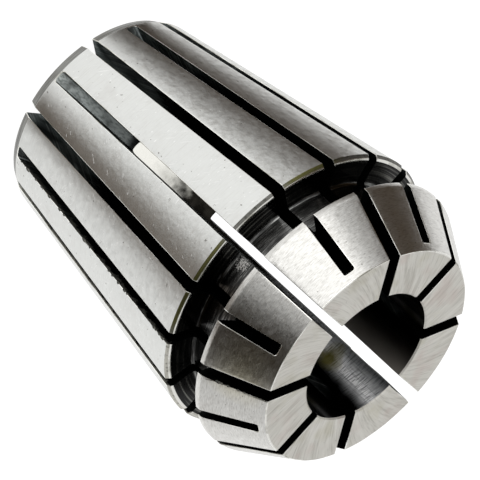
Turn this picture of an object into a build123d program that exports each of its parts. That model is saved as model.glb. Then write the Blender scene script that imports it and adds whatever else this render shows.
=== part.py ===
"""Double-slotted spring collet with an 8 degree taper, 26 mm across and 34 mm long.

The axis is Z. The small rear end is at Z = 0 and the clamping nose is at the top.
All sizes are in millimetres and degrees.
"""

from build123d import *
from math import radians, sqrt, tan
import os

# Body of revolution, from the rear end to the nose.
OVERALL_LENGTH = 34.0
TAPER_DIAMETER = 26.0
TAPER_HALF_ANGLE = 8.0
TAPER_FRONT_Z = 25.0
TAPER_EDGE_CHAMFER = 0.3
REAR_CHAMFER_LENGTH = 0.9
REAR_CHAMFER_DEPTH = 0.44

# Extraction groove, which the eccentric ring of the clamping nut pulls on.
GROOVE_DIAMETER = 20.8
GROOVE_FRONT_Z = 28.75
GROOVE_FILLET = 0.35

# Nose cone, which the clamping nut presses on.
NOSE_DIAMETER = 25.8
NOSE_HALF_ANGLE = 30.0
NOSE_LAND = 0.44

# Clamping bore.
BORE_DIAMETER = 12.0
BORE_MOUTH_CHAMFER = 0.12
BORE_REAR_CHAMFER = 0.4

# Saw slots. The nose ones stop short of the rear end and the rear ones stop in the nose.
# The nose slot at the far angle is sawn a little shallower than the other seven.
SLOTS_PER_END = 8
NOSE_SLOT_WIDTH = 1.08
REAR_SLOT_WIDTH = 1.02
NOSE_SLOT_END_Z = 0.95
FAR_SLOT_ANGLE = 180
FAR_SLOT_END_Z = 2.75
REAR_SLOT_END_Z = 33.4
SAW_RADIUS = 40.0
SAW_REACH_RADIUS = 3.8
SAW_TRAVEL = 40.0

TAPER_RADIUS = TAPER_DIAMETER / 2
NOSE_RADIUS = NOSE_DIAMETER / 2
BORE_RADIUS = BORE_DIAMETER / 2
GROOVE_RADIUS = GROOVE_DIAMETER / 2
NOSE_CONE_REAR_Z = GROOVE_FRONT_Z + NOSE_LAND
SAW_CENTRE_RADIUS = SAW_RADIUS + SAW_REACH_RADIUS


def taper_radius_at(z):
    """Radius of the 8 degree taper at height z."""
    return TAPER_RADIUS - (TAPER_FRONT_Z - z) * tan(radians(TAPER_HALF_ANGLE))


def nose_radius_at(z):
    """Radius of the nose cone at height z."""
    return NOSE_RADIUS - (z - NOSE_CONE_REAR_Z) * tan(radians(NOSE_HALF_ANGLE))


def body_of_revolution():
    """The turned and ground body, before its slots are sawn."""
    chamfer_top_radius = taper_radius_at(REAR_CHAMFER_LENGTH)
    groove_rear_z = TAPER_FRONT_Z + TAPER_EDGE_CHAMFER
    bore_mouth_z = OVERALL_LENGTH - BORE_MOUTH_CHAMFER
    outline = [
        (BORE_RADIUS + BORE_REAR_CHAMFER, 0),
        (chamfer_top_radius - REAR_CHAMFER_DEPTH, 0),
        (chamfer_top_radius, REAR_CHAMFER_LENGTH),
        (TAPER_RADIUS, TAPER_FRONT_Z),
        (TAPER_RADIUS - TAPER_EDGE_CHAMFER, groove_rear_z),
        (GROOVE_RADIUS, groove_rear_z),
        (GROOVE_RADIUS, GROOVE_FRONT_Z),
        (NOSE_RADIUS, GROOVE_FRONT_Z),
        (NOSE_RADIUS, NOSE_CONE_REAR_Z),
        (nose_radius_at(OVERALL_LENGTH), OVERALL_LENGTH),
        (BORE_RADIUS + BORE_MOUTH_CHAMFER, OVERALL_LENGTH),
        (BORE_RADIUS, bore_mouth_z),
        (BORE_RADIUS, BORE_REAR_CHAMFER),
    ]
    with BuildPart() as turned:
        with BuildSketch(Plane.XZ) as section:
            with BuildLine():
                Polyline(*outline, close=True)
            make_face()
            groove_corners = section.vertices().filter_by(
                lambda corner: abs(corner.X - GROOVE_RADIUS) < 0.01
            )
            fillet(groove_corners, GROOVE_FILLET)
        revolve(axis=Axis.Z)
    return turned.part


def saw_rise(outer_radius):
    """Height between the saw's centre and the point where its rim leaves the body."""
    return sqrt(SAW_RADIUS**2 - (SAW_CENTRE_RADIUS - outer_radius) ** 2)


def saw_pass(end_z, outer_radius, direction, width):
    """What one pass of the slitting saw clears, in the plane at Y = 0.

    The pass opens towards direction, +1 for the nose and -1 for the rear. It stops where
    the saw's rim leaves the outside of the body at end_z and outer_radius, so the blind
    end of the slot is an arc. The first solid is the saw, the second the path behind it.
    """
    centre = Pos(SAW_CENTRE_RADIUS, 0, end_z + direction * saw_rise(outer_radius))
    saw = centre * Rot(90, 0, 0) * Cylinder(SAW_RADIUS, width)
    travel_align = Align.MIN if direction > 0 else Align.MAX
    path = centre * Box(
        2 * SAW_RADIUS, width, SAW_TRAVEL, align=(Align.CENTER, Align.CENTER, travel_align)
    )
    return [saw, path]


def slot_ring(cutters, angles):
    """Copies of one saw pass, turned about the axis to each of the angles."""
    return [Rot(0, 0, angle) * cutter for angle in angles for cutter in cutters]


def collet():
    """The finished collet, slotted from both ends."""
    nose_pass = saw_pass(NOSE_SLOT_END_Z, taper_radius_at(NOSE_SLOT_END_Z), 1, NOSE_SLOT_WIDTH)
    far_pass = saw_pass(FAR_SLOT_END_Z, taper_radius_at(FAR_SLOT_END_Z), 1, NOSE_SLOT_WIDTH)
    rear_pass = saw_pass(REAR_SLOT_END_Z, nose_radius_at(REAR_SLOT_END_Z), -1, REAR_SLOT_WIDTH)
    step = 360 / SLOTS_PER_END
    nose_angles = [step * index for index in range(SLOTS_PER_END)]
    rear_angles = [angle + step / 2 for angle in nose_angles]
    nose_angles.remove(FAR_SLOT_ANGLE)
    cutters = slot_ring(nose_pass, nose_angles)
    cutters += slot_ring(far_pass, [FAR_SLOT_ANGLE])
    cutters += slot_ring(rear_pass, rear_angles)
    return body_of_revolution() - cutters


os.makedirs("parts", exist_ok=True)
export_step(collet(), "parts/collet_body.step")
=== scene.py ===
"""Studio scene of a double-slotted spring collet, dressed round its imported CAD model."""

import math
import random

import bpy
from mathutils import Matrix, Vector


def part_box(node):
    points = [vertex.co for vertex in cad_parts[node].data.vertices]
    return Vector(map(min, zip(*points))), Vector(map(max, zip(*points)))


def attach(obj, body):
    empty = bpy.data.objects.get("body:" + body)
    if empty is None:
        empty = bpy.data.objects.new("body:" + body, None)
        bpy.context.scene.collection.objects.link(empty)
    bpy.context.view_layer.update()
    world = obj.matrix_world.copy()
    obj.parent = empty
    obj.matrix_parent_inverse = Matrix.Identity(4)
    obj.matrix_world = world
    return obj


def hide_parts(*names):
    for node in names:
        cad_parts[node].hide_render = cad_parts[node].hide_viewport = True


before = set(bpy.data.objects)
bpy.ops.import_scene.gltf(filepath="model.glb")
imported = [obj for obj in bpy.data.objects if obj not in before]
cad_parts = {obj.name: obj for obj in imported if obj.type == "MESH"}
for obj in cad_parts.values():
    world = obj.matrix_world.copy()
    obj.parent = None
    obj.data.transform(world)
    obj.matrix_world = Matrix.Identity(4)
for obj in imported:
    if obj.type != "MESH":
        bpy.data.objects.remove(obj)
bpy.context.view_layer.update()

MM = 0.001

# The collet's section, in millimetres. Its length comes from the frame.
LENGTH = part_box("collet_body")[1].z / MM
TAPER_RADIUS = 13.0
TAPER_SLOPE = math.tan(math.radians(8.0))
TAPER_FRONT = 25.0
TAPER_CHAMFER = 0.3
REAR_CHAMFER_LENGTH = 0.9
REAR_CHAMFER_DEPTH = 0.44
GROOVE_RADIUS = 10.4
GROOVE_REAR = TAPER_FRONT + TAPER_CHAMFER
GROOVE_FRONT = 28.75
GROOVE_FILLET = 0.35
NOSE_RADIUS = 12.9
NOSE_SLOPE = math.tan(math.radians(30.0))
NOSE_LAND = 0.44
BORE_RADIUS = 6.0
BORE_MOUTH_CHAMFER = 0.12
BORE_REAR_CHAMFER = 0.4

# Saw slots, in millimetres and degrees.
SLOTS_PER_END = 8
SLOT_PITCH = 360 / SLOTS_PER_END
NOSE_SLOT_WIDTH = 1.08
REAR_SLOT_WIDTH = 1.02
NOSE_SLOT_END = 0.95
FAR_SLOT = 180
FAR_SLOT_END = 2.75
REAR_SLOT_END = 33.4
SAW_RADIUS = 40.0
SAW_REACH = 3.8
SAW_TRAVEL = 40.0

# The middles of an oil stain in the bore, of bright specks in the groove, painted glints also
# cut in as bumps, of olive tempering tints on the chamfer and of a pale yellow one on the nose,
# in metres.
OIL_SPOT = (-0.0057, 0.0021, 0.0283)
GLINT_SPECKS_SPOT = (0.0103, 0.0011, 0.0262)
CHAMFER_TINTS = [(0.0124, 0.0032, 0.0252), (0.0101, -0.0078, 0.0252), (0.0112, 0.0062, 0.0252)]
NOSE_TINT = (0.0085, 0.0068, 0.0315)

# Each pair below says where a worn, scaled or shaded part of a surface starts and where it is
# full, in millimetres; the blotched side of the taper and the groove's shoulder carry painted
# shade. The sides are along Y, the shoulder of the groove is by radius, and the torn fringe
# of the slot walls is by depth under the taper.
SCUFF_AND_PAINTED_SHADE_SIDE = (-3.8, -5.2)
SCRATCHED_SIDE = (0.0, 1.0)
SCALY_SIDE = (8.6, 9.4)
SHOULDER = (10.6, 10.9)
TORN_SIDE = (7.0, 7.5)
TORN_FRINGE = (0.95, 0.75)

# Slot walls. Painted shade, near black, lies up the slot, by height and by radius, but not in
# the front slot, at angle 0, which is told by the distance from it along Y and by its half, by
# X; that slot is painted paler instead, as painted light. More painted shade lies at the nose,
# by height, and beside the bore, by radius.
UPPER_PAINTED_SHADE = (8.5, 12.5)
UPPER_PAINTED_SHADE_RADIUS = (7.4, 8.4)
NOSE_END_PAINTED_SHADE = (30.3, 31.2)
BY_BORE_PAINTED_SHADE = (6.35, 6.1)
OFF_FRONT_SLOT = (0.8, 1.2)
FRONT_HALF = (0, 1)

# Bore. Its colour greys and then goes near black by height, painted shade that darkens it
# further up. The half that faces the front slot, by X, has a band of painted highlight with a
# brighter painted line in it, and a paler painted sheen beside it. The line starts and ends
# with the band, and each of the three has its two sides, along Y.
BORE_GREY = (6, 10)
BORE_BLACK = (8.5, 11.0)
FAR_HALF = (0.1, -0.1)
BAND_HEIGHTS = (18, 25)
BAND_SIDES = [(0.8, -0.5), (-3.4, -1.2)]
SHINE_SIDES = [(0.5, -0.5), (-2.4, -0.9)]
HAZE_HEIGHTS = (19, 33)
HAZE_SIDES = [(-3.6, -0.5), (0.4, 0.2)]

# How far the edges of the band, of the bore's black and of the torn fringe wander, in
# millimetres, how far the band moves along Y for each millimetre of height, and how much
# rougher its line is than the rest of it.
BAND_WANDER = 0.5
BLACK_WANDER = 6
FRINGE_WANDER = 1.2
BAND_SLANT = -0.1
LINE_SHARE = 0.35

# How the strokes on the nose face leave the radius, in radians a metre, the radius that
# their width is measured at, in metres, and how the scratches on the taper turn, in radians.
STROKE_LEAN = -45.0
STROKE_RADIUS = 8 * MM
SCRATCH_SLANT = (0.75, 0.0, 0.3)

# How far corners are broken back, in millimetres: the rim in front of the taper, the foot
# and the top of the nose cone, the saw's teeth, and every other corner outside the groove
# and bore.
RIM_BREAK = 0.13
NOSE_BREAK = 0.12
FACE_BREAK = 0.08
SAW_BREAK = 0.16
EDGE_BREAK = 0.055

# Edges that the saw tore: the slot's angle in degrees, from and to which height, how many
# bites, and the radius of the smallest and the largest bite, in millimetres.
TORN_EDGES = [
    (45.0, 1.6, 24.6, 46, 0.03, 0.2),
    (45.0, 29.4, 33.0, 10, 0.04, 0.2),
    (22.5, 11.0, 24.6, 26, 0.02, 0.1),
]

# The bites are copies of a grain of 1 mm radius: how far its corners are moved at random, in
# millimetres, how many times as tall as wide a bite may be, and what the random draws of
# the grain and of the bites start from.
GRAIN_LUMPS = 0.25
BITE_HEIGHTS = (0.8, 1.8)
GRAIN_SEED = 2
BITE_SEED = 5

# How finely the rounds are divided, and the place in metres that a mesh is numbered from.
RING_POINTS = 288
SAW_POINTS = 360
FILLET_STEPS = 6
BREAK_STEPS = 3
EDGE_STEPS = 2
ORDER_PLACE = (0.021, 0.013, 0.007)

# Points this close become one after turning and after sawing, and places this close count
# as level with each other, roughly and exactly. In millimetres.
TURNED_MERGE = 0.002
SAWN_MERGE = 0.004
LEVEL = 0.01
EXACTLY_LEVEL = 0.001

# How far from the bore's wall its chamfers still belong to it, in millimetres, and the
# angles in degrees past which the saw's corners are broken and an edge stays sharp.
BORE_REACH = 0.2
SAW_CORNER_ANGLE = 60
SHARP_ANGLE = 35


# --- modelling ---------------------------------------------------------------------------


def taper_radius_at(height):
    """Radius of the 8 degree taper at a height above the rear face."""
    return TAPER_RADIUS - (TAPER_FRONT - height) * TAPER_SLOPE


def nose_radius_at(height):
    """Radius of the nose cone at a height above the rear face."""
    return NOSE_RADIUS - (height - GROOVE_FRONT - NOSE_LAND) * NOSE_SLOPE


def groove_corner(height, towards):
    """Points round one filleted corner of the groove floor. towards is +1 or -1 along Z."""
    points = []
    for step in range(FILLET_STEPS + 1):
        turn = math.radians(90 * step / FILLET_STEPS)
        out = GROOVE_FILLET * (1 - math.sin(turn))
        up = GROOVE_FILLET * (1 - math.cos(turn))
        points.append((GROOVE_RADIUS + out, height + towards * up))
    return points


def broken_corner(before, corner, after, back):
    """The points of a short curve in place of a corner, set back along both of its sides."""
    middle = Vector(corner)
    start = middle + (Vector(before) - middle).normalized() * back
    end = middle + (Vector(after) - middle).normalized() * back
    points = []
    for step in range(BREAK_STEPS + 1):
        along = step / BREAK_STEPS
        points.append(start.lerp(middle, along).lerp(middle.lerp(end, along), along))
    return points


def collet_section():
    """The turned outline as (radius, height), from the rear face round to the bore."""
    chamfer_top = taper_radius_at(REAR_CHAMFER_LENGTH)
    corners = [
        ((BORE_RADIUS + BORE_REAR_CHAMFER, 0), 0),
        ((chamfer_top - REAR_CHAMFER_DEPTH, 0), EDGE_BREAK),
        ((chamfer_top, REAR_CHAMFER_LENGTH), EDGE_BREAK),
        ((TAPER_RADIUS, TAPER_FRONT), 0),
        ((TAPER_RADIUS - TAPER_CHAMFER, GROOVE_REAR), RIM_BREAK),
    ]
    corners += [(point, 0) for point in groove_corner(GROOVE_REAR, 1)]
    corners += [(point, 0) for point in reversed(groove_corner(GROOVE_FRONT, -1))]
    corners += [
        ((NOSE_RADIUS, GROOVE_FRONT), EDGE_BREAK),
        ((NOSE_RADIUS, GROOVE_FRONT + NOSE_LAND), NOSE_BREAK),
        ((nose_radius_at(LENGTH), LENGTH), FACE_BREAK),
        ((BORE_RADIUS + BORE_MOUTH_CHAMFER, LENGTH), 0),
        ((BORE_RADIUS, LENGTH - BORE_MOUTH_CHAMFER), 0),
        ((BORE_RADIUS, BORE_REAR_CHAMFER), 0),
    ]
    outline = []
    for index, (corner, back) in enumerate(corners):
        if back:
            outline += broken_corner(corners[index - 1][0], corner, corners[index + 1][0], back)
        else:
            outline.append(Vector(corner))
    return outline


def edit(thing):
    """Opens one object in edit mode with nothing else selected."""
    bpy.ops.object.select_all(action="DESELECT")
    bpy.context.view_layer.objects.active = thing
    thing.select_set(True)
    bpy.ops.object.mode_set(mode="EDIT")
    bpy.ops.mesh.select_mode(type="VERT")


def joined(things, name):
    """Several objects made into one."""
    bpy.ops.object.select_all(action="DESELECT")
    for thing in things:
        thing.select_set(True)
    bpy.context.view_layer.objects.active = things[0]
    bpy.ops.object.join()
    things[0].name = name
    return things[0]


def apply_modifier(thing, kind, **settings):
    """Adds one modifier with its settings and applies it."""
    bpy.ops.object.select_all(action="DESELECT")
    bpy.context.view_layer.objects.active = thing
    thing.select_set(True)
    modifier = thing.modifiers.new(kind.lower(), kind)
    for name, value in settings.items():
        setattr(modifier, name, value)
    bpy.ops.object.modifier_apply(modifier=modifier.name)


def put_in_order():
    """Numbers the mesh by distance from a place off the axis, the same way each run."""
    cursor = bpy.context.scene.cursor
    cursor.location = ORDER_PLACE
    bpy.ops.mesh.select_all(action="SELECT")
    bpy.ops.mesh.sort_elements(type="CURSOR_DISTANCE", elements={"VERT", "EDGE", "FACE"})
    cursor.location = (0, 0, 0)


def turned_blank():
    """The collet before it is sawn: a ring of points drawn along the section and closed."""
    outline = collet_section()
    radius, height = outline[0]
    bpy.ops.object.select_all(action="DESELECT")
    bpy.ops.mesh.primitive_circle_add(
        vertices=RING_POINTS, radius=radius * MM, location=(0, 0, height * MM)
    )
    blank = bpy.context.object
    blank.name = "collet_ground_body"
    edit(blank)
    bpy.ops.mesh.select_all(action="SELECT")
    for next_radius, next_height in outline[1:] + outline[:1]:
        rise = (next_height - height) * MM
        bpy.ops.mesh.extrude_region_move(TRANSFORM_OT_translate={"value": (0, 0, rise)})
        scale = next_radius / radius
        bpy.ops.transform.resize(value=(scale, scale, 1), center_override=(0, 0, 0))
        radius, height = next_radius, next_height
    bpy.ops.mesh.select_all(action="SELECT")
    bpy.ops.mesh.remove_doubles(threshold=TURNED_MERGE * MM)
    bpy.ops.mesh.normals_make_consistent(inside=False)
    put_in_order()
    bpy.ops.object.mode_set(mode="OBJECT")
    return blank


def saw_pass(end_height, outer_radius, direction, width):
    """What one pass of the slitting saw clears: the disc of the saw, drawn out along Z.

    The half of the disc on the open side is drawn out past the end of the collet. The
    corners of the teeth are worn round, so the floor of the slot has round corners.
    """
    centre_radius = SAW_RADIUS + SAW_REACH
    rise = math.sqrt(SAW_RADIUS**2 - (centre_radius - outer_radius) ** 2)
    centre = Vector((centre_radius, 0, end_height + direction * rise)) * MM
    bpy.ops.object.select_all(action="DESELECT")
    bpy.ops.mesh.primitive_cylinder_add(
        vertices=SAW_POINTS,
        radius=SAW_RADIUS * MM,
        depth=width * MM,
        location=centre,
        rotation=(math.radians(90), 0, 0),
    )
    saw = bpy.context.object
    bpy.ops.object.transform_apply(location=True, rotation=True, scale=True)
    for vertex in saw.data.vertices:
        vertex.select = (vertex.co.z - centre.z) * direction > LEVEL * MM
    for face in saw.data.polygons:
        face.select = False
    for edge in saw.data.edges:
        edge.select = False
    edit(saw)
    bpy.ops.transform.translate(value=(0, 0, direction * SAW_TRAVEL * MM))
    bpy.ops.object.mode_set(mode="OBJECT")
    apply_modifier(
        saw,
        "BEVEL",
        width=SAW_BREAK * MM,
        segments=BREAK_STEPS,
        limit_method="ANGLE",
        angle_limit=math.radians(SAW_CORNER_ANGLE),
    )
    return saw


def ring_of_copies(thing, angles):
    """A copy of one cutter at each angle round the axis, each with its own mesh."""
    copies = []
    for angle in angles:
        copy = bpy.data.objects.new(f"{thing.name}_{angle:.0f}", thing.data.copy())
        copy.data.transform(Matrix.Rotation(math.radians(angle), 4, "Z"))
        bpy.context.collection.objects.link(copy)
        copies.append(copy)
    bpy.data.objects.remove(thing)
    return copies


def torn_edges(finishes):
    """Small bites along the edges that the saw tore, made by copies of one lumpy grain."""
    bpy.ops.object.select_all(action="DESELECT")
    bpy.ops.mesh.primitive_ico_sphere_add(subdivisions=1, radius=MM)
    grain_of_steel = bpy.context.object
    edit(grain_of_steel)
    bpy.ops.mesh.select_all(action="SELECT")
    bpy.ops.transform.vertex_random(offset=GRAIN_LUMPS * MM, seed=GRAIN_SEED)
    bpy.ops.object.mode_set(mode="OBJECT")
    grain_of_steel.data.materials.append(finishes["torn"])
    chance = random.Random(BITE_SEED)
    bites = []
    for angle, low, high, count, smallest, largest in TORN_EDGES:
        for index in range(count):
            height = chance.uniform(low, high)
            size = smallest + (largest - smallest) * chance.random() ** 2
            outer = taper_radius_at(height) if height < TAPER_FRONT else nose_radius_at(height)
            across = (NOSE_SLOT_WIDTH if angle % SLOT_PITCH == 0 else REAR_SLOT_WIDTH) / 2
            place = Vector((outer, across, height)) * MM
            bite = bpy.data.objects.new(f"bite_{angle:.0f}_{index}", grain_of_steel.data.copy())
            bite.data.transform(
                Matrix.Rotation(math.radians(angle), 4, "Z")
                @ Matrix.Translation(place)
                @ Matrix.Diagonal((size, size, size * chance.uniform(*BITE_HEIGHTS), 1))
            )
            bpy.context.collection.objects.link(bite)
            bites.append(bite)
    bpy.data.objects.remove(grain_of_steel)
    return joined(bites, "torn_edges")


def saw_cuts(finishes):
    """All sixteen saw passes as one cutter that carries the finish of the slot walls."""
    nose_saw = saw_pass(NOSE_SLOT_END, taper_radius_at(NOSE_SLOT_END), 1, NOSE_SLOT_WIDTH)
    far_saw = saw_pass(FAR_SLOT_END, taper_radius_at(FAR_SLOT_END), 1, NOSE_SLOT_WIDTH)
    rear_saw = saw_pass(REAR_SLOT_END, nose_radius_at(REAR_SLOT_END), -1, REAR_SLOT_WIDTH)
    nose_saw.data.materials.append(finishes["sawn_from_nose"])
    far_saw.data.materials.append(finishes["sawn_from_nose"])
    rear_saw.data.materials.append(finishes["sawn_from_rear"])
    nose_angles = [SLOT_PITCH * index for index in range(SLOTS_PER_END)]
    rear_angles = [angle + SLOT_PITCH / 2 for angle in nose_angles]
    nose_angles.remove(FAR_SLOT)
    cuts = ring_of_copies(nose_saw, nose_angles)
    cuts += ring_of_copies(far_saw, [FAR_SLOT])
    cuts += ring_of_copies(rear_saw, rear_angles)
    return joined(cuts, "saw_cuts")


def mark_sawn_corners(body, sawn, torn):
    """Marks the corners where a slot's wall meets a turned face, to be broken a little.

    The corners in the groove and the bore, and the torn ones, are left as the saw made them.
    """
    sides = {}
    for face in body.data.polygons:
        for key in face.edge_keys:
            sides.setdefault(key, []).append(face)
    weights = body.data.attributes.new("bevel_weight_edge", "FLOAT", "EDGE")
    for edge in body.data.edges:
        one, other = sides[edge.key]
        if (one.material_index in sawn) == (other.material_index in sawn):
            continue
        if torn in (one.material_index, other.material_index):
            continue
        middle = sum((body.data.vertices[index].co for index in edge.vertices), Vector()) / 2
        radius = math.hypot(middle.x, middle.y) / MM
        height = middle.z / MM
        in_groove = GROOVE_REAR - LEVEL < height < GROOVE_FRONT + LEVEL
        in_bore = radius < BORE_RADIUS + BORE_MOUTH_CHAMFER
        outwards = (other.center - one.center).dot(one.normal) < 0
        if outwards and not in_groove and not in_bore:
            weights.data[edge.index].value = 1.0


def set_turned_finishes(body, names):
    """Gives each turned face the finish of its place on the section."""
    for face in body.data.polygons:
        radius = math.hypot(face.center.x, face.center.y) / MM
        height = face.center.z / MM
        by_bore = radius < BORE_RADIUS + BORE_REACH
        on_rim = GROOVE_REAR - RIM_BREAK < height < GROOVE_REAR - EXACTLY_LEVEL
        if by_bore and height < LENGTH - BORE_MOUTH_CHAMFER:
            finish = "bore"
        elif height > LENGTH - EXACTLY_LEVEL or by_bore:
            finish = "nose_face"
        elif height > LENGTH - FACE_BREAK:
            finish = "edge"
        elif height > GROOVE_FRONT + EXACTLY_LEVEL:
            finish = "nose_cone"
        elif on_rim and radius < TAPER_RADIUS - TAPER_CHAMFER + RIM_BREAK:
            finish = "edge"
        elif height > TAPER_FRONT and radius > TAPER_RADIUS - TAPER_CHAMFER:
            finish = "chamfer"
        elif height > TAPER_FRONT:
            finish = "groove"
        elif height > REAR_CHAMFER_LENGTH:
            finish = "taper"
        else:
            finish = "rear"
        face.material_index = names.index(finish)


def sawn_collet(finishes):
    """The blank slotted from both ends, with its edges broken and each surface's finish set."""
    body = turned_blank()
    names = list(finishes)
    for finish in finishes.values():
        body.data.materials.append(finish)
    set_turned_finishes(body, names)
    bites = torn_edges(finishes)
    apply_modifier(body, "BOOLEAN", object=bites, solver="EXACT", use_self=True)
    cuts = saw_cuts(finishes)
    apply_modifier(body, "BOOLEAN", object=cuts, solver="EXACT")
    bpy.data.objects.remove(bites)
    bpy.data.objects.remove(cuts)
    edit(body)
    bpy.ops.mesh.select_all(action="SELECT")
    bpy.ops.mesh.remove_doubles(threshold=SAWN_MERGE * MM)
    bpy.ops.mesh.select_all(action="DESELECT")
    bpy.ops.object.mode_set(mode="OBJECT")
    sawn = [names.index("sawn_from_nose"), names.index("sawn_from_rear")]
    mark_sawn_corners(body, sawn, names.index("torn"))
    apply_modifier(
        body,
        "BEVEL",
        width=EDGE_BREAK * MM,
        segments=EDGE_STEPS,
        limit_method="WEIGHT",
        use_clamp_overlap=False,
        material=names.index("edge"),
    )
    bpy.ops.object.shade_smooth_by_angle(angle=math.radians(SHARP_ANGLE))
    apply_modifier(body, "WEIGHTED_NORMAL", keep_sharp=True, weight=100)
    return body


# --- finishes ----------------------------------------------------------------------------


def linear(hex_colour):
    """An sRGB hex colour as linear RGBA."""
    channels = [int(hex_colour[place : place + 2], 16) / 255 for place in (1, 3, 5)]
    return [c / 12.92 if c <= 0.04045 else ((c + 0.055) / 1.055) ** 2.4 for c in channels] + [1]


def add_node(tree, kind, links=None, **settings):
    """Adds one shader node, sets its properties and links or sets its inputs."""
    node = tree.nodes.new(kind)
    for name, value in settings.items():
        setattr(node, name, value)
    for place, value in (links or {}).items():
        if isinstance(value, bpy.types.NodeSocket):
            tree.links.new(value, node.inputs[place])
        else:
            node.inputs[place].default_value = value
    return node


def bare_steel(name, roughness, anisotropy):
    """Starts a finish of bare steel. Its gloss is drawn out across marks round the axis."""
    finish = bpy.data.materials.new(name)
    finish.use_nodes = True
    shader = finish.node_tree.nodes["Principled BSDF"]
    shader.inputs["Metallic"].default_value = 1.0
    shader.inputs["Roughness"].default_value = roughness
    shader.inputs["Anisotropic"].default_value = anisotropy
    shader.inputs["Anisotropic Rotation"].default_value = 0.25
    return finish


def grain(tree, size, shift, detail, coordinates=None):
    """A noise whose grains measure size, in millimetres, along X, Y and Z."""
    if coordinates is None:
        coordinates = add_node(tree, "ShaderNodeTexCoord").outputs["Object"]
    scale = [1 / (MM * length) for length in size]
    placed = add_node(
        tree,
        "ShaderNodeMapping",
        {"Vector": coordinates, "Location": (shift, shift, shift), "Scale": scale},
    )
    noise = add_node(
        tree, "ShaderNodeTexNoise", {"Vector": placed.outputs[0], "Scale": 1.0, "Detail": detail}
    )
    return noise.outputs[0]


def stained(tree, colour, stain, pattern, low, high, most):
    """A colour stained where a pattern passes from low to high, by most of the way at most."""
    amount = add_node(
        tree,
        "ShaderNodeMapRange",
        {"Value": pattern, "From Min": low, "From Max": high, "To Min": 0.0, "To Max": most},
    )
    mixed = add_node(
        tree,
        "ShaderNodeMix",
        {"Factor": amount.outputs[0], 6: colour, 7: linear(stain)},
        data_type="RGBA",
    )
    return mixed.outputs[2]


def patch(tree, ramps):
    """A mask, 1 where every value has gone from its start to its end, in millimetres."""
    mask = 1.0
    for value, start, end in ramps:
        ramp = add_node(
            tree,
            "ShaderNodeMapRange",
            {"Value": value, "From Min": start * MM, "From Max": end * MM},
        )
        both = add_node(
            tree, "ShaderNodeMath", {0: ramp.outputs[0], 1: mask}, operation="MULTIPLY"
        )
        mask = both.outputs[0]
    return mask


def near(tree, spot, inner, outer, pattern, spread):
    """A mask, 1 within inner of a spot and 0 beyond outer, its edge spread by a pattern."""
    place = add_node(tree, "ShaderNodeTexCoord").outputs["Object"]
    away = add_node(tree, "ShaderNodeVectorMath", {0: place, 1: spot}, operation="DISTANCE")
    ragged = add_node(
        tree,
        "ShaderNodeMath",
        {0: pattern, 1: spread * MM, 2: away.outputs["Value"]},
        operation="MULTIPLY_ADD",
    )
    return patch(tree, [(ragged.outputs[0], outer, inner)])


def set_colour(tree, colour):
    """Gives the steel its colour."""
    tree.links.new(colour, tree.nodes["Principled BSDF"].inputs["Base Color"])


def set_relief(tree, layers):
    """Cuts patterns into the surface, one over the other, each with its depth in millimetres."""
    socket = None
    for pattern, depth in layers:
        links = {"Height": pattern, "Distance": depth * MM, "Strength": 1.0}
        if socket:
            links["Normal"] = socket
        socket = add_node(tree, "ShaderNodeBump", links).outputs[0]
    tree.links.new(socket, tree.nodes["Principled BSDF"].inputs["Normal"])


def set_gloss(tree, pattern, smooth, rough):
    """Lets the roughness go from smooth to rough as a pattern goes from a quarter to 3/4."""
    spread = add_node(
        tree,
        "ShaderNodeMapRange",
        {"Value": pattern, "From Min": 0.25, "From Max": 0.75, "To Min": smooth, "To Max": rough},
    )
    tree.links.new(spread.outputs[0], tree.nodes["Principled BSDF"].inputs["Roughness"])


def polar(tree):
    """The angle about the axis in radians, and the distance from it and height in metres."""
    place = add_node(tree, "ShaderNodeTexCoord").outputs["Object"]
    parts = add_node(tree, "ShaderNodeSeparateXYZ", {0: place})
    angle = add_node(
        tree, "ShaderNodeMath", {0: parts.outputs[1], 1: parts.outputs[0]}, operation="ARCTAN2"
    )
    flat = add_node(tree, "ShaderNodeVectorMath", {0: place, 1: (1, 1, 0)}, operation="MULTIPLY")
    radius = add_node(tree, "ShaderNodeVectorMath", {0: flat.outputs[0]}, operation="LENGTH")
    return angle.outputs[0], radius.outputs["Value"], parts.outputs[2]


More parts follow.
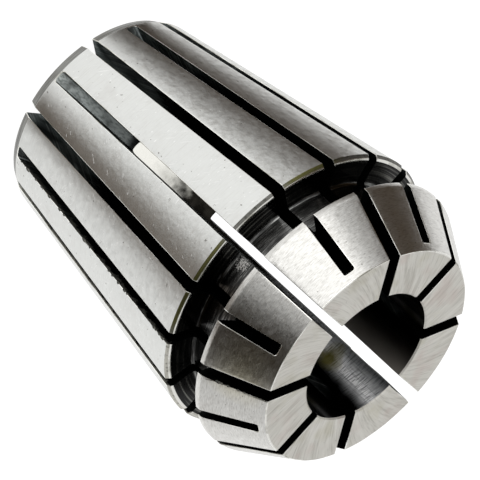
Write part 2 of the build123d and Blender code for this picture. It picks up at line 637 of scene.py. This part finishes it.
def ground_taper():
    """Spring steel, hardened and ground round the axis to the 8 degree seat.

    The eye sees a near-white sheen drawn out along the axis, broken up where it turns dark
    by the faint waves that wear has left, with light nicks, fine scratches and a few pits.
    One side, which reflects dark, has dark blotches painted on as painted shade that breaks
    up the reflection there, also cut in like scuffs, and another has slanting hair scratches.
    Grinding lines of 0.02 mm are drawn 0.1 mm apart so that they show.
    """
    finish = bare_steel("ground_taper_steel", 0.34, 0.92)
    tree = finish.node_tree
    place = add_node(tree, "ShaderNodeTexCoord").outputs["Object"]
    slanted = add_node(tree, "ShaderNodeMapping", {"Vector": place, "Rotation": SCRATCH_SLANT})
    lines = grain(tree, (1.2, 1.2, 0.1), 0.0, 2.0)
    cloud = grain(tree, (2.6, 2.6, 3.6), 14.0, 5.0)
    waves = grain(tree, (0.55, 0.55, 0.5), 21.0, 5.0)
    pits = grain(tree, (0.35, 0.35, 0.35), 9.0, 1.0)
    nicks = grain(tree, (0.4, 0.4, 0.14), 33.0, 1.0)
    scratches = grain(tree, (0.8, 3.4, 0.06), 3.0, 1.0, slanted.outputs[0])
    hairs = grain(tree, (0.06, 2.6, 0.9), 12.0, 2.0, slanted.outputs[0])
    y = add_node(tree, "ShaderNodeSeparateXYZ", {0: place}).outputs["Y"]
    # Dark blotches on one side of the taper: painted shade that breaks up its dark reflection,
    # also cut in as bumps.
    scuff_and_painted_light = patch(tree, [(y, *SCUFF_AND_PAINTED_SHADE_SIDE)])
    scratched = patch(tree, [(y, *SCRATCHED_SIDE)])
    cut = add_node(
        tree, "ShaderNodeMapRange", {"Value": hairs, "From Min": 0.7, "From Max": 0.75}
    )
    cuts = add_node(
        tree, "ShaderNodeMath", {0: cut.outputs[0], 1: scratched}, operation="MULTIPLY"
    )
    worn = grain(tree, (0.6, 0.6, 0.7), 7.0, 8.0)
    blotches = add_node(tree, "ShaderNodeMath", {0: worn, 1: scuff_and_painted_light}, operation="MULTIPLY")
    colour = stained(tree, linear("#DDDEDB"), "#A79E96", cloud, 0.6, 0.8, 0.2)
    # Painted shade: the blotches darken the colour on the side that reflects dark.
    colour = stained(tree, colour, "#8C8880", blotches.outputs[0], 0.44, 0.64, 0.3)
    colour = stained(tree, colour, "#BDBAB4", lines, 0.5, 0.75, 0.25)
    colour = stained(tree, colour, "#F6F6F4", nicks, 0.72, 0.76, 0.8)
    colour = stained(tree, colour, "#F6F6F4", scratches, 0.7, 0.75, 0.75)
    colour = stained(tree, colour, "#FFFFFF", cuts.outputs[0], 0.0, 1.0, 0.9)
    colour = stained(tree, colour, "#6A655F", pits, 0.74, 0.78, 0.7)
    set_colour(tree, colour)
    set_gloss(tree, waves, 0.3, 0.4)
    worn_in = [(waves, 0.02), (blotches.outputs[0], 0.022), (cuts.outputs[0], 0.009)]
    set_relief(tree, worn_in + [(lines, 0.001)])
    return finish


def ground_nose():
    """The same steel ground round the 30 degree nose cone with a coarser wheel.

    The eye sees a silky sheen stippled with short bright and dark strokes round the axis,
    with a few pits and a pale yellow tint on one side.
    """
    finish = bare_steel("ground_nose_steel", 0.33, 0.7)
    tree = finish.node_tree
    strokes = grain(tree, (0.45, 0.45, 0.055), 2.0, 4.0)
    cloud = grain(tree, (2.4, 2.4, 2.4), 6.0, 4.0)
    waves = grain(tree, (0.6, 0.6, 0.3), 25.0, 5.0)
    pits = grain(tree, (0.2, 0.2, 0.16), 11.0, 1.0)
    colour = stained(tree, linear("#D6D5D1"), "#9A9088", cloud, 0.6, 0.85, 0.25)
    tinted = near(tree, NOSE_TINT, 1.0, 4.5, cloud, 2.0)
    colour = stained(tree, colour, "#E0D8B8", tinted, 0.0, 1.0, 0.8)
    colour = stained(tree, colour, "#908C85", strokes, 0.5, 0.66, 0.38)
    colour = stained(tree, colour, "#FAF9F6", strokes, 0.44, 0.32, 0.35)
    colour = stained(tree, colour, "#4E4943", pits, 0.74, 0.78, 0.7)
    set_colour(tree, colour)
    set_gloss(tree, waves, 0.29, 0.39)
    set_relief(tree, [(waves, 0.018), (strokes, 0.005)])
    return finish


def ground_face():
    """The nose face, ground flat with a cup wheel.

    The eye sees matt warm grey with fine strokes that sweep outwards from the bore, turning
    off the radius as they go, and faint pink and olive tints.
    """
    finish = bare_steel("cup_ground_face_steel", 0.5, 0.0)
    tree = finish.node_tree
    angle, radius, height = polar(tree)
    lean = add_node(
        tree, "ShaderNodeMath", {0: radius, 1: STROKE_LEAN, 2: angle}, operation="MULTIPLY_ADD"
    )
    sweep = add_node(
        tree, "ShaderNodeMath", {0: lean.outputs[0], 1: STROKE_RADIUS}, operation="MULTIPLY"
    )
    fan = add_node(tree, "ShaderNodeCombineXYZ", {0: sweep.outputs[0], 1: radius, 2: height})
    strokes = grain(tree, (0.1, 1.6, 4.0), 0.0, 4.0, fan.outputs[0])
    broad = grain(tree, (0.5, 3.0, 4.0), 5.0, 3.0, fan.outputs[0])
    tint = grain(tree, (2.2, 2.2, 2.2), 3.0, 2.0)
    pits = grain(tree, (0.25, 0.25, 0.25), 15.0, 1.0)
    colour = stained(tree, linear("#E3E1DA"), "#A8A59C", strokes, 0.5, 0.74, 0.45)
    colour = stained(tree, colour, "#F2F0EA", broad, 0.5, 0.7, 0.5)
    colour = stained(tree, colour, "#B4B0A6", broad, 0.46, 0.3, 0.35)
    colour = stained(tree, colour, "#CFBAB3", tint, 0.55, 0.75, 0.3)
    colour = stained(tree, colour, "#C2BDA0", tint, 0.45, 0.25, 0.3)
    colour = stained(tree, colour, "#7E7A74", pits, 0.76, 0.8, 0.6)
    set_colour(tree, colour)
    set_gloss(tree, strokes, 0.42, 0.58)
    set_relief(tree, [(strokes, 0.002)])
    return finish


def turned_groove():
    """The extraction groove, turned before hardening and left with its dark scale.

    The eye sees a shoulder painted near black, painted shade under the nose, with faint rings
    where it was faced, a floor with fine turning rings that catch a little light, and bright
    specks beside one slot, painted glints that are also cut in and made rougher.
    """
    finish = bare_steel("turned_scaled_steel", 0.2, 0.5)
    tree = finish.node_tree
    angle, radius, height = polar(tree)
    rings = grain(tree, (1.4, 1.4, 0.07), 1.0, 4.0)
    shade = grain(tree, (3.0, 3.0, 3.0), 18.0, 1.0)
    speck_grain = grain(tree, (0.14, 0.14, 0.1), 8.0, 2.0)
    spiral = add_node(tree, "ShaderNodeCombineXYZ", {0: radius, 1: height, 2: angle})
    facing = grain(tree, (0.16, 4.0, 900.0), 5.0, 2.0, spiral.outputs[0])
    shoulder = patch(tree, [(radius, *SHOULDER)])
    faced = add_node(tree, "ShaderNodeMath", {0: facing, 1: shoulder}, operation="MULTIPLY")
    # Bright specks beside one slot: painted glints, also cut in as bumps and made rougher.
    around = near(tree, GLINT_SPECKS_SPOT, 0.3, 1.8, shade, 0.3)
    specks_with_painted_glints = add_node(tree, "ShaderNodeMath", {0: around, 1: speck_grain}, operation="MULTIPLY")
    colour = stained(tree, linear("#4C4C4B"), "#101010", rings, 0.46, 0.34, 0.9)
    colour = stained(tree, colour, "#A8A8A5", rings, 0.52, 0.72, 0.85)
    colour = stained(tree, colour, "#262524", shade, 0.5, 0.62, 0.6)
    colour = stained(tree, colour, "#F0EEEA", specks_with_painted_glints.outputs[0], 0.4, 0.48, 0.9)
    # Painted shade: the shoulder under the nose is painted near black.
    colour = stained(tree, colour, "#161616", shoulder, 0.0, 1.0, 0.95)
    colour = stained(tree, colour, "#8C8C86", faced.outputs[0], 0.5, 0.66, 0.7)
    set_colour(tree, colour)
    set_gloss(tree, specks_with_painted_glints.outputs[0], 0.2, 0.9)
    set_relief(
        tree, [(rings, 0.005), (specks_with_painted_glints.outputs[0], 0.015), (faced.outputs[0], 0.012)]
    )
    return finish


def turned_chamfer():
    """The chamfer at the front of the taper, turned and then tempered.

    The eye sees fine rings on mottled grey, olive in three places and pale with scale on
    one side.
    """
    finish = bare_steel("tempered_chamfer_steel", 0.4, 0.4)
    tree = finish.node_tree
    rings = grain(tree, (4.0, 4.0, 0.06), 3.0, 2.0)
    mottle = grain(tree, (0.3, 0.3, 0.3), 6.0, 3.0)
    place = add_node(tree, "ShaderNodeTexCoord").outputs["Object"]
    y = add_node(tree, "ShaderNodeSeparateXYZ", {0: place}).outputs["Y"]
    scaly = patch(tree, [(y, *SCALY_SIDE)])
    colour = stained(tree, linear("#83827D"), "#DEDCD2", scaly, 0.0, 1.0, 0.9)
    colour = stained(tree, colour, "#55544E", mottle, 0.56, 0.64, 0.6)
    for spot in CHAMFER_TINTS:
        tinted = near(tree, spot, 2.0, 3.4, mottle, 0.4)
        colour = stained(tree, colour, "#7C7A45", tinted, 0.0, 1.0, 0.9)
    colour = stained(tree, colour, "#3A3A32", rings, 0.45, 0.65, 0.5)
    set_colour(tree, colour)
    return finish


def ground_bore():
    """The clamping bore, ground to size, painted grey and then near black towards the mouth as
    painted shade.

    The eye sees bright steel low down, painted shade near black above it, a band of painted
    highlight in blue-grey on one side, brightest in a streaky painted line, a paler painted
    sheen beside the band, and a spot of brown oil.
    """
    finish = bare_steel("ground_bore_steel", 0.28, 0.0)
    tree = finish.node_tree
    strokes = grain(tree, (0.9, 0.9, 0.07), 5.0, 4.0)
    streaks = grain(tree, (0.16, 0.16, 4.0), 11.0, 2.0)
    cloud = grain(tree, (1.2, 1.2, 1.2), 2.0, 4.0)
    place = add_node(tree, "ShaderNodeTexCoord").outputs["Object"]
    x, y, z = add_node(tree, "ShaderNodeSeparateXYZ", {0: place}).outputs
    slanting = add_node(
        tree, "ShaderNodeMath", {0: z, 1: BAND_SLANT, 2: y}, operation="MULTIPLY_ADD"
    )
    across = add_node(
        tree,
        "ShaderNodeMath",
        {0: cloud, 1: BAND_WANDER * MM, 2: slanting.outputs[0]},
        operation="MULTIPLY_ADD",
    ).outputs[0]
    up = add_node(
        tree, "ShaderNodeMath", {0: cloud, 1: BLACK_WANDER * MM, 2: z}, operation="MULTIPLY_ADD"
    ).outputs[0]
    # Painted shade: the bore greys and then goes near black with height.
    greyed = patch(tree, [(up, *BORE_GREY)])
    above = patch(tree, [(up, *BORE_BLACK)])
    side = [(x, *FAR_HALF), (z, *BAND_HEIGHTS)]
    # Painted highlight: a band with a brighter painted line in it, and a paler painted sheen
    # beside it.
    painted_highlight_band = patch(tree, side + [(across, *edge) for edge in BAND_SIDES])
    painted_shine_line = patch(tree, side + [(across, *edge) for edge in SHINE_SIDES])
    beside = [(x, *FAR_HALF), (z, *HAZE_HEIGHTS)]
    painted_haze = patch(tree, beside + [(y, *edge) for edge in HAZE_SIDES])
    worn = add_node(tree, "ShaderNodeMath", {0: painted_haze, 1: painted_highlight_band}, operation="MAXIMUM")
    oiled = near(tree, OIL_SPOT, 1.2, 2.2, cloud, 1.6)
    dark = stained(tree, linear("#2A2825"), "#141311", cloud, 0.42, 0.58, 0.9)
    dark = stained(tree, dark, "#A09A92", painted_haze, 0.0, 1.0, 0.9)
    # Painted highlight colours for the band and its line.
    pale = stained(tree, linear("#B4B7BA"), "#FFFFFF", painted_shine_line, 0.0, 1.0, 1.0)
    pale = stained(tree, pale, "#7C7E80", streaks, 0.5, 0.7, 0.35)
    pale = stained(tree, pale, "#5C5E60", strokes, 0.5, 0.64, 0.65)
    both = add_node(tree, "ShaderNodeMix", {"Factor": painted_highlight_band, 6: dark, 7: pale}, data_type="RGBA")
    colour = stained(tree, both.outputs[2], "#857E30", oiled, 0.0, 1.0, 0.9)
    # Bright steel low down, painted grey and then near black above: painted shade.
    bright = stained(tree, linear("#F6F5EE"), "#A09F98", greyed, 0.0, 1.0, 0.8)
    mixed = add_node(
        tree, "ShaderNodeMix", {"Factor": above, 6: bright, 7: colour}, data_type="RGBA"
    )
    set_colour(tree, mixed.outputs[2])
    scuff_and_painted_light = add_node(
        tree,
        "ShaderNodeMath",
        {0: painted_shine_line, 1: LINE_SHARE, 2: worn.outputs[0]},
        operation="MULTIPLY_ADD",
    )
    spread = add_node(
        tree,
        "ShaderNodeMapRange",
        {"Value": scuff_and_painted_light.outputs[0], "From Max": 1.0 + LINE_SHARE, "To Min": 0.16, "To Max": 0.9},
    )
    tree.links.new(spread.outputs[0], tree.nodes["Principled BSDF"].inputs["Roughness"])
    relief = add_node(tree, "ShaderNodeMath", {0: strokes, 1: painted_shine_line}, operation="MULTIPLY")
    set_relief(tree, [(relief.outputs[0], 0.06)])
    return finish


def turned_rear():
    """The rear face and its chamfer, turned and left dull. The eye sees grey with fine rings."""
    finish = bare_steel("turned_rear_steel", 0.42, 0.4)
    tree = finish.node_tree
    rings = grain(tree, (3.0, 3.0, 0.12), 6.0, 3.0)
    cloud = grain(tree, (1.5, 1.5, 1.5), 1.0, 3.0)
    colour = stained(tree, linear("#8E8E8A"), "#464642", rings, 0.45, 0.62, 0.8)
    colour = stained(tree, colour, "#6E6C64", cloud, 0.5, 0.7, 0.6)
    set_colour(tree, colour)
    set_relief(tree, [(rings, 0.003)])
    return finish


def sawn_wall(name, direction):
    """The walls of the slots, left by the slitting saw and darkened by hardening.

    The eye sees dark green-grey near the rear end, mottled along the slot, with arcs of the
    saw's own radius. Beside the bore, further up and at the nose end the walls are painted
    almost black as painted shade deep in the slots, and they stay dark at a glancing angle, more
    painted shade. The front slot, facing the lamp, is painted paler as painted light, and on one
    side of the collet the walls have a pale torn fringe just inside the taper.
    Direction is +1 for the slots sawn from the nose and -1 for those from the rear.
    Arcs of 0.05 mm feed are drawn 0.25 mm apart so that they show.
    """
    finish = bare_steel(name, 0.45, 0.0)
    tree = finish.node_tree
    angle, radius, height = polar(tree)
    off_centre = (SAW_RADIUS + SAW_REACH) * MM
    inward = add_node(tree, "ShaderNodeMath", {0: off_centre, 1: radius}, operation="SUBTRACT")
    square = add_node(tree, "ShaderNodeMath", {0: inward.outputs[0], 1: 2.0}, operation="POWER")
    rest = add_node(
        tree,
        "ShaderNodeMath",
        {0: (SAW_RADIUS * MM) ** 2, 1: square.outputs[0]},
        operation="SUBTRACT",
    )
    drop = add_node(tree, "ShaderNodeMath", {0: rest.outputs[0]}, operation="SQRT")
    arc = add_node(
        tree,
        "ShaderNodeMath",
        {0: drop.outputs[0], 1: direction, 2: height},
        operation="MULTIPLY_ADD",
    )
    feed = add_node(tree, "ShaderNodeCombineXYZ", {0: arc.outputs[0], 1: radius, 2: angle})
    place = add_node(tree, "ShaderNodeTexCoord").outputs["Object"]
    marks = grain(tree, (0.25, 4.0, 500.0), 0.0, 3.0, feed.outputs[0])
    mottle = grain(tree, (0.14, 0.14, 0.9), 4.0, 4.0)
    broad = grain(tree, (1.2, 1.2, 2.4), 9.0, 3.0)
    lips = grain(tree, (0.5, 0.5, 0.6), 3.0, 6.0)
    x, y = add_node(tree, "ShaderNodeSeparateXYZ", {0: place}).outputs[:2]
    ground = add_node(
        tree,
        "ShaderNodeMath",
        {0: height, 1: TAPER_SLOPE, 2: taper_radius_at(0) * MM},
        operation="MULTIPLY_ADD",
    )
    below = add_node(
        tree, "ShaderNodeMath", {0: ground.outputs[0], 1: radius}, operation="SUBTRACT"
    )
    ragged = add_node(
        tree,
        "ShaderNodeMath",
        {0: lips, 1: FRINGE_WANDER * MM, 2: below.outputs[0]},
        operation="MULTIPLY_ADD",
    )
    torn = patch(tree, [(ragged.outputs[0], *TORN_FRINGE), (y, *TORN_SIDE)])
    aside = add_node(tree, "ShaderNodeMath", {0: y}, operation="ABSOLUTE").outputs[0]
    # Painted shade: near black up the slot, at the nose end and beside the bore, deep in the
    # slots.
    upper = patch(
        tree, [(height, *UPPER_PAINTED_SHADE), (radius, *UPPER_PAINTED_SHADE_RADIUS), (aside, *OFF_FRONT_SLOT)]
    )
    # Painted light: the front slot, facing the lamp, is painted paler.
    front = patch(tree, [(aside, *reversed(OFF_FRONT_SLOT)), (x, *FRONT_HALF)])
    nose_end = patch(tree, [(height, *NOSE_END_PAINTED_SHADE)])
    by_bore = patch(tree, [(radius, *BY_BORE_PAINTED_SHADE)])
    colour = stained(tree, linear("#545959"), "#A8AEAC", front, 0.0, 1.0, 0.8)
    colour = stained(tree, colour, "#B4BAB7", marks, 0.52, 0.68, 0.8)
    colour = stained(tree, colour, "#7E8482", mottle, 0.5, 0.66, 0.8)
    colour = stained(tree, colour, "#2C2E2D", broad, 0.5, 0.66, 0.7)
    colour = stained(tree, colour, "#0E1010", upper, 0.0, 1.0, 0.95)
    colour = stained(tree, colour, "#0E0E0C", nose_end, 0.0, 1.0, 0.95)
    colour = stained(tree, colour, "#0A0A0A", by_bore, 0.0, 1.0, 0.9)
    colour = stained(tree, colour, "#B2B2AA", torn, 0.0, 1.0, 0.95)
    set_colour(tree, colour)
    # Painted shade: the same places are darkened at a glancing angle too.
    glance = stained(tree, linear("#9A9A9A"), "#101010", upper, 0.0, 1.0, 0.95)
    glance = stained(tree, glance, "#4A4A48", nose_end, 0.0, 1.0, 0.95)
    tree.links.new(glance, tree.nodes["Principled BSDF"].inputs["Specular Tint"])
    set_gloss(tree, mottle, 0.36, 0.55)
    set_relief(tree, [(marks, 0.012), (mottle, 0.008)])
    return finish


def worn_edge():
    """Edges that handling has burnished. The eye sees bright steel, duller here and there."""
    finish = bare_steel("burnished_edge_steel", 0.3, 0.0)
    tree = finish.node_tree
    dull = grain(tree, (2.0, 2.0, 2.0), 4.0, 3.0)
    colour = stained(tree, linear("#FFFEF8"), "#9A988A", dull, 0.5, 0.66, 0.8)
    set_colour(tree, colour)
    set_gloss(tree, dull, 0.14, 0.32)
    return finish


def torn_steel():
    """What the saw left where it tore an edge. The eye sees dull, lumpy grey."""
    finish = bare_steel("torn_steel", 0.5, 0.0)
    tree = finish.node_tree
    lumps = grain(tree, (0.08, 0.08, 0.08), 1.0, 3.0)
    colour = stained(tree, linear("#A4A49D"), "#3C3C38", lumps, 0.42, 0.58, 0.9)
    set_colour(tree, colour)
    set_relief(tree, [(lumps, 0.02)])
    return finish


FINISHES = {
    "taper": ground_taper(),
    "nose_cone": ground_nose(),
    "nose_face": ground_face(),
    "groove": turned_groove(),
    "chamfer": turned_chamfer(),
    "bore": ground_bore(),
    "rear": turned_rear(),
    "sawn_from_nose": sawn_wall("slots_sawn_from_nose", 1),
    "sawn_from_rear": sawn_wall("slots_sawn_from_rear", -1),
    "edge": worn_edge(),
    "torn": torn_steel(),
}

collet = sawn_collet(FINISHES)
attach(collet, "root")
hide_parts("collet_body")


# --- studio ------------------------------------------------------------------------------

# The room. The floor's glow is what the camera and the steel see of it.
FLOOR_SIZE = 2.0
FLOOR_GLOW = 0.95
FLOOR_COLOUR = "#8A8A8A"
ROOM_COLOUR = "#FFFFFF"
ROOM_LIGHT = 0.7

# The key lamp, in degrees, metres and watts, and the height that it faces.
KEY_AZIMUTH = -30
KEY_ELEVATION = 26
KEY_DISTANCE = 0.5
KEY_WIDTH = 0.45
KEY_HEIGHT = 0.4
KEY_POWER = 0.65
KEY_AIM = 17 * MM

# The camera, in metres, degrees and, for the lens and its sensor, millimetres.
CAMERA_DISTANCE = 293.0 * MM
CAMERA_AZIMUTH = -1.0
CAMERA_ELEVATION = 31.88
CAMERA_ROLL = 132.7
CAMERA_AIM = 18.16 * MM
CAMERA_LENS = 274.2
CAMERA_SENSOR = 36.0
CAMERA_CLIP = 0.01

# The grey cards, in millimetres: how far over the floor they lie, where they turn up and
# stand, how high they stand, and how finely they are divided.
CARD_FOOT = 0.3
CARD_TURN = 150
CARD_TOP = 400
CARD_STEPS = 36


def studio_floor():
    """A wide sheet that the collet stands on.

    The camera and the steel's reflections see it white, and it lights the collet as grey
    paper does.
    """
    bpy.ops.object.select_all(action="DESELECT")
    bpy.ops.mesh.primitive_plane_add(size=FLOOR_SIZE, location=(0, 0, 0))
    floor = bpy.context.object
    floor.name = "studio_floor"
    paper = bpy.data.materials.new("white_paper")
    paper.use_nodes = True
    tree = paper.node_tree
    tree.nodes.clear()
    path = add_node(tree, "ShaderNodeLightPath")
    seen = add_node(
        tree,
        "ShaderNodeMath",
        {0: path.outputs["Is Camera Ray"], 1: path.outputs["Is Glossy Ray"]},
        operation="MAXIMUM",
    )
    seen = add_node(
        tree,
        "ShaderNodeMath",
        {0: seen.outputs[0], 1: path.outputs["Is Transmission Ray"]},
        operation="MAXIMUM",
    )
    glow = add_node(
        tree, "ShaderNodeMath", {0: seen.outputs[0], 1: FLOOR_GLOW}, operation="MULTIPLY"
    )
    diffuse = add_node(tree, "ShaderNodeBsdfDiffuse", {"Color": linear(FLOOR_COLOUR)})
    light = add_node(tree, "ShaderNodeEmission", {"Strength": glow.outputs[0]})
    both = add_node(tree, "ShaderNodeAddShader", {0: diffuse.outputs[0], 1: light.outputs[0]})
    add_node(tree, "ShaderNodeOutputMaterial", {"Surface": both.outputs[0]})
    floor.data.materials.append(paper)


def grey_card(name, board, edges, fade_in, fade_out):
    """A curved sheet of grey board that only the steel's reflections show.

    Each of the edges across it is a radius and a height, in millimetres, and the azimuths
    where the sheet starts and ends there, in degrees. The board thins out to nothing over
    the parts fade_in and fade_out of its width, so that the steel darkens softly.
    """
    bpy.ops.object.select_all(action="DESELECT")
    bpy.ops.mesh.primitive_grid_add(
        x_subdivisions=CARD_STEPS, y_subdivisions=len(edges) - 1, size=1.0, location=(0, 0, 0)
    )
    card = bpy.context.object
    card.name = name
    for vertex in card.data.vertices:
        radius, height, start, end = edges[round((vertex.co.y + 0.5) * (len(edges) - 1))]
        azimuth = math.radians(start + (end - start) * (vertex.co.x + 0.5))
        across = Vector((math.cos(azimuth), math.sin(azimuth), 0)) * radius
        vertex.co = (across + Vector((0, 0, height))) * MM
    sheet = bpy.data.materials.new(name + "_board")
    sheet.use_nodes = True
    tree = sheet.node_tree
    tree.nodes.clear()
    spot = add_node(tree, "ShaderNodeTexCoord")
    width = add_node(tree, "ShaderNodeSeparateXYZ", {0: spot.outputs["UV"]})
    rise = add_node(
        tree,
        "ShaderNodeMapRange",
        {"Value": width.outputs[0], "From Max": fade_in},
        interpolation_type="SMOOTHSTEP",
    )
    fall = add_node(
        tree,
        "ShaderNodeMapRange",
        {"Value": width.outputs[0], "From Min": 1.0, "From Max": 1.0 - fade_out},
        interpolation_type="SMOOTHSTEP",
    )
    body = add_node(
        tree, "ShaderNodeMath", {0: rise.outputs[0], 1: fall.outputs[0]}, operation="MULTIPLY"
    )
    clear = add_node(tree, "ShaderNodeBsdfTransparent")
    solid = add_node(tree, "ShaderNodeBsdfDiffuse", {"Color": linear(board)})
    mix = add_node(
        tree,
        "ShaderNodeMixShader",
        {0: body.outputs[0], 1: clear.outputs[0], 2: solid.outputs[0]},
    )
    add_node(tree, "ShaderNodeOutputMaterial", {"Surface": mix.outputs[0]})
    card.data.materials.append(sheet)
    card.visible_camera = False
    card.visible_diffuse = False
    card.visible_shadow = False


def direction_at(azimuth, elevation):
    """The direction at an azimuth and an elevation in degrees."""
    turn = math.radians(azimuth)
    lift = math.radians(elevation)
    level = math.cos(lift)
    return Vector((math.cos(turn) * level, math.sin(turn) * level, math.sin(lift)))


def key_lamp():
    """A rectangular soft box that faces the collet."""
    data = bpy.data.lights.new("key_soft_box", "AREA")
    data.shape = "RECTANGLE"
    data.size = KEY_WIDTH
    data.size_y = KEY_HEIGHT
    data.energy = KEY_POWER
    lamp = bpy.data.objects.new("key_soft_box", data)
    away = direction_at(KEY_AZIMUTH, KEY_ELEVATION)
    lamp.location = Vector((0, 0, KEY_AIM)) + away * KEY_DISTANCE
    lamp.rotation_euler = away.to_track_quat("Z", "Y").to_euler()
    bpy.context.collection.objects.link(lamp)


def studio_world():
    """An even white room light."""
    world = bpy.data.worlds.new("studio_room")
    bpy.context.scene.world = world
    world.use_nodes = True
    sky = world.node_tree.nodes["Background"]
    sky.inputs["Color"].default_value = linear(ROOM_COLOUR)
    sky.inputs["Strength"].default_value = ROOM_LIGHT


def studio_camera():
    """The camera, above the nose's level and rolled so that the axis runs across the frame."""
    data = bpy.data.cameras.new("studio_camera")
    data.sensor_width = CAMERA_SENSOR
    data.lens = CAMERA_LENS
    data.clip_start = CAMERA_CLIP
    camera = bpy.data.objects.new("studio_camera", data)
    away = direction_at(CAMERA_AZIMUTH, CAMERA_ELEVATION)
    facing = away.to_track_quat("Z", "Y").to_matrix().to_4x4()
    place = Matrix.Translation(Vector((0, 0, CAMERA_AIM)) + away * CAMERA_DISTANCE)
    camera.matrix_world = place @ facing @ Matrix.Rotation(math.radians(CAMERA_ROLL), 4, "Z")
    bpy.context.collection.objects.link(camera)
    bpy.context.scene.camera = camera


studio_floor()
studio_world()
key_lamp()
grey_card(
    "front_card_lying",
    "#8F857C",
    [
        (9.9, CARD_FOOT, 3.2, 34.9),
        (12.2, CARD_FOOT, 4, 42),
        (17, CARD_FOOT, 5, 51.5),
        (25.4, CARD_FOOT, 5.8, 58.7),
        (36, CARD_FOOT, 6.3, 62.5),
        (80, CARD_FOOT, 12, 70),
        (CARD_TURN, CARD_FOOT, 15, 82),
    ],
    0.46,
    0.35,
)
grey_card(
    "front_card_standing",
    "#2E2414",
    [(CARD_TURN, CARD_FOOT, 7, 89), (CARD_TURN, CARD_TOP, 7, 89)],
    0.3,
    0.15,
)
grey_card(
    "side_card_lying",
    "#5C524A",
    [
        (9.8, CARD_FOOT, -59, -21),
        (11.5, CARD_FOOT, -71.5, -25),
        (16.3, CARD_FOOT, -87, -30),
        (25.6, CARD_FOOT, -99, -34),
        (37.8, CARD_FOOT, -105, -36),
        (80, CARD_FOOT, -114, -45),
        (CARD_TURN, CARD_FOOT, -120, -60),
    ],
    0.03,
    0.5,
)
grey_card(
    "side_card_standing",
    "#5A4A38",
    [(CARD_TURN, CARD_FOOT, -126, -64), (CARD_TURN, CARD_TOP, -126, -64)],
    0.1,
    0.35,
)
studio_camera()

view = bpy.context.scene.view_settings
view.view_transform = "Standard"
